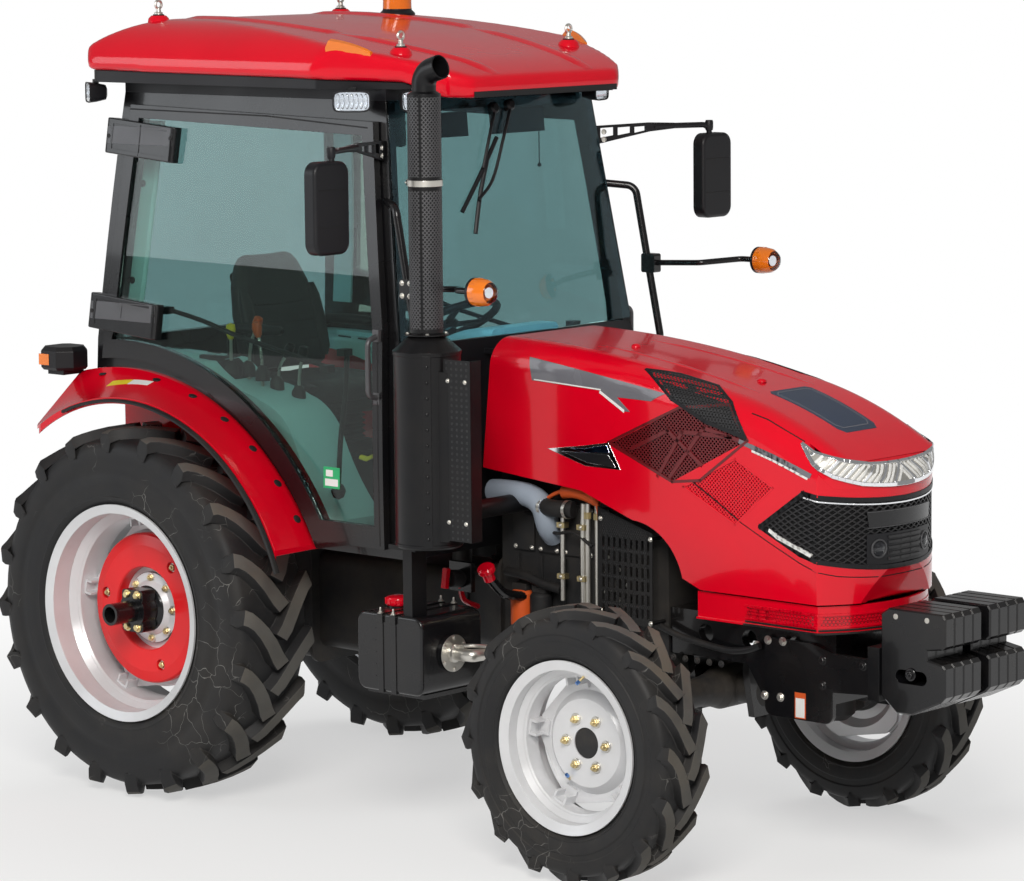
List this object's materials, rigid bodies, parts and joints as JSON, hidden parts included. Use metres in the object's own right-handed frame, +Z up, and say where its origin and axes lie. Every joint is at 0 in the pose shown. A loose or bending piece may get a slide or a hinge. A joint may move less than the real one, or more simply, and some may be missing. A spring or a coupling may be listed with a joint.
{
  "type": "farm tractor",
  "caption": "Cab farm tractor with glazed side doors, lifting hood, steered driven front axle, front suitcase weights and upright side exhaust.",
  "frame": {"origin": "on the ground, at the middle of the overall length and width", "axes": "+X forward, +Y to the driver's left, +Z up"},
  "size_m": [4.0599, 2.112, 2.7999],
  "materials": {
    "black_paint": "satin black chassis enamel",
    "cast_black": "painted castings",
    "red_paint": "glossy red body panels",
    "red_weight": "red painted ring weight",
    "silver_paint": "silver wheel paint",
    "tyre_rubber": "dusty agricultural tyre",
    "tinted_glass": "tinted safety glass",
    "black_plastic": "textured black plastic",
    "grille_plastic": "black diamond mesh",
    "teal_plastic": "pale blue-grey moulded trim",
    "lamp_clear": "clear lamp lens",
    "lamp_amber": "amber lens",
    "seat_vinyl": "black seat vinyl",
    "red_mesh": "red perforated window mesh",
    "zinc": "zinc plated steel",
    "chrome": "chromed handle"
  },
  "bodies": {
    "chassis": {"beacon": "lamp_amber", "cab_consoles": "teal_plastic", "cab_floor": "black_paint", "cab_frame": "black_paint", "cab_roof": "red_paint", "dash_console": "teal_plastic", "drawbar": "black_paint", "driver_seat": "seat_vinyl", "engine_block": "cast_black", "engine_pipes": "black_plastic", "engine_side_screens": "black_paint", "exhaust_muffler": "black_paint", "exhaust_stack": "black_paint", "front_axle_beam": "cast_black", "front_support": "cast_black", "front_weights": "cast_black", "fuel_tank": "black_plastic", "handrails": "black_paint", "hitch_links": "black_paint", "hood_chin": "red_paint", "left_step": "black_paint", "mirrors": "black_plastic", "pto_shaft": "zinc", "radiator": "black_paint", "rear_fenders": "red_paint", "rear_window": "tinted_glass", "roof_liner": "black_plastic", "signal_lamps": "lamp_amber", "transmission_housing": "cast_black", "weight_bracket": "black_paint", "windscreen": "tinted_glass", "work_lamps": "black_plastic"},
    "rear_wheel_right": {"rear_tyre_right": "tyre_rubber", "rear_rim_right": "silver_paint", "rear_weight_right": "red_weight", "rear_axle_right": "black_paint"},
    "front_wheel_right": {"front_tyre_right": "tyre_rubber", "front_rim_right": "silver_paint"},
    "steering_knuckle_right": {"knuckle_right": "cast_black"},
    "cab_door_right": {"door_frame_right": "black_paint", "door_glass_right": "tinted_glass", "door_handle_right": "chrome"},
    "rear_wheel_left": {"rear_tyre_left": "tyre_rubber", "rear_rim_left": "silver_paint", "rear_weight_left": "red_weight", "rear_axle_left": "black_paint"},
    "front_wheel_left": {"front_tyre_left": "tyre_rubber", "front_rim_left": "silver_paint"},
    "steering_knuckle_left": {"knuckle_left": "cast_black"},
    "cab_door_left": {"door_frame_left": "black_paint", "door_glass_left": "tinted_glass", "door_handle_left": "chrome"},
    "hood_assembly": {"hood_shell": "red_paint", "hood_grille": "grille_plastic", "headlamps": "lamp_clear", "hood_windows": "red_mesh"},
    "steering_wheel_body": {"steering_wheel": "black_plastic"},
    "steering_rod_body": {"steering_rod": "zinc"}
  },
  "joints": [
    {"name": "rear_wheel_right_spin", "type": "hinge", "parent": "chassis", "child": "rear_wheel_right", "pos_m": [-1.06, -0.66, 0.65], "axis": [0, 1, 0], "continuous": true},
    {"name": "rear_wheel_left_spin", "type": "hinge", "parent": "chassis", "child": "rear_wheel_left", "pos_m": [-1.06, 0.66, 0.65], "axis": [0, 1, 0], "continuous": true},
    {"name": "steer_right", "type": "hinge", "parent": "chassis", "child": "steering_knuckle_right", "pos_m": [1, -0.575, 0.445], "axis": [0, 0, 1], "range_deg": [-40, 40]},
    {"name": "front_wheel_right_spin", "type": "hinge", "parent": "steering_knuckle_right", "child": "front_wheel_right", "pos_m": [1, -0.729, 0.445], "axis": [0, 1, 0], "continuous": true},
    {"name": "steer_left", "type": "hinge", "parent": "chassis", "child": "steering_knuckle_left", "pos_m": [1, 0.575, 0.445], "axis": [0, 0, 1], "range_deg": [-40, 40]},
    {"name": "front_wheel_left_spin", "type": "hinge", "parent": "steering_knuckle_left", "child": "front_wheel_left", "pos_m": [1, 0.729, 0.445], "axis": [0, 1, 0], "continuous": true},
    {"name": "steering_rod_slide", "type": "slide", "parent": "chassis", "child": "steering_rod_body", "axis": [0, 1, 0], "range_m": [-0.0964, 0.0964]},
    {"name": "door_right_swing", "type": "hinge", "parent": "chassis", "child": "cab_door_right", "pos_m": [-1.364, -0.62565, 1.676], "axis": [-0.0776, -0.0894, -0.993], "range_deg": [0, 70]},
    {"name": "door_left_swing", "type": "hinge", "parent": "chassis", "child": "cab_door_left", "pos_m": [-1.364, 0.62565, 1.676], "axis": [0.0776, -0.0894, 0.993], "range_deg": [0, 70]},
    {"name": "hood_lift", "type": "hinge", "parent": "chassis", "child": "hood_assembly", "pos_m": [0.245, 0, 1.6], "axis": [0, -1, 0], "range_deg": [0, 50]},
    {"name": "steering_wheel_turn", "type": "hinge", "parent": "chassis", "child": "steering_wheel_body", "pos_m": [-0.26, 0, 1.64], "axis": [-0.4741, 0, 0.8805], "continuous": true}
  ],
  "couplings": [
    {"joint": "steer_left", "follows": "steer_right", "ratio": 1},
    {"joint": "steering_rod_slide", "follows": "steer_right", "m_per_rad": -0.138}
  ]
}
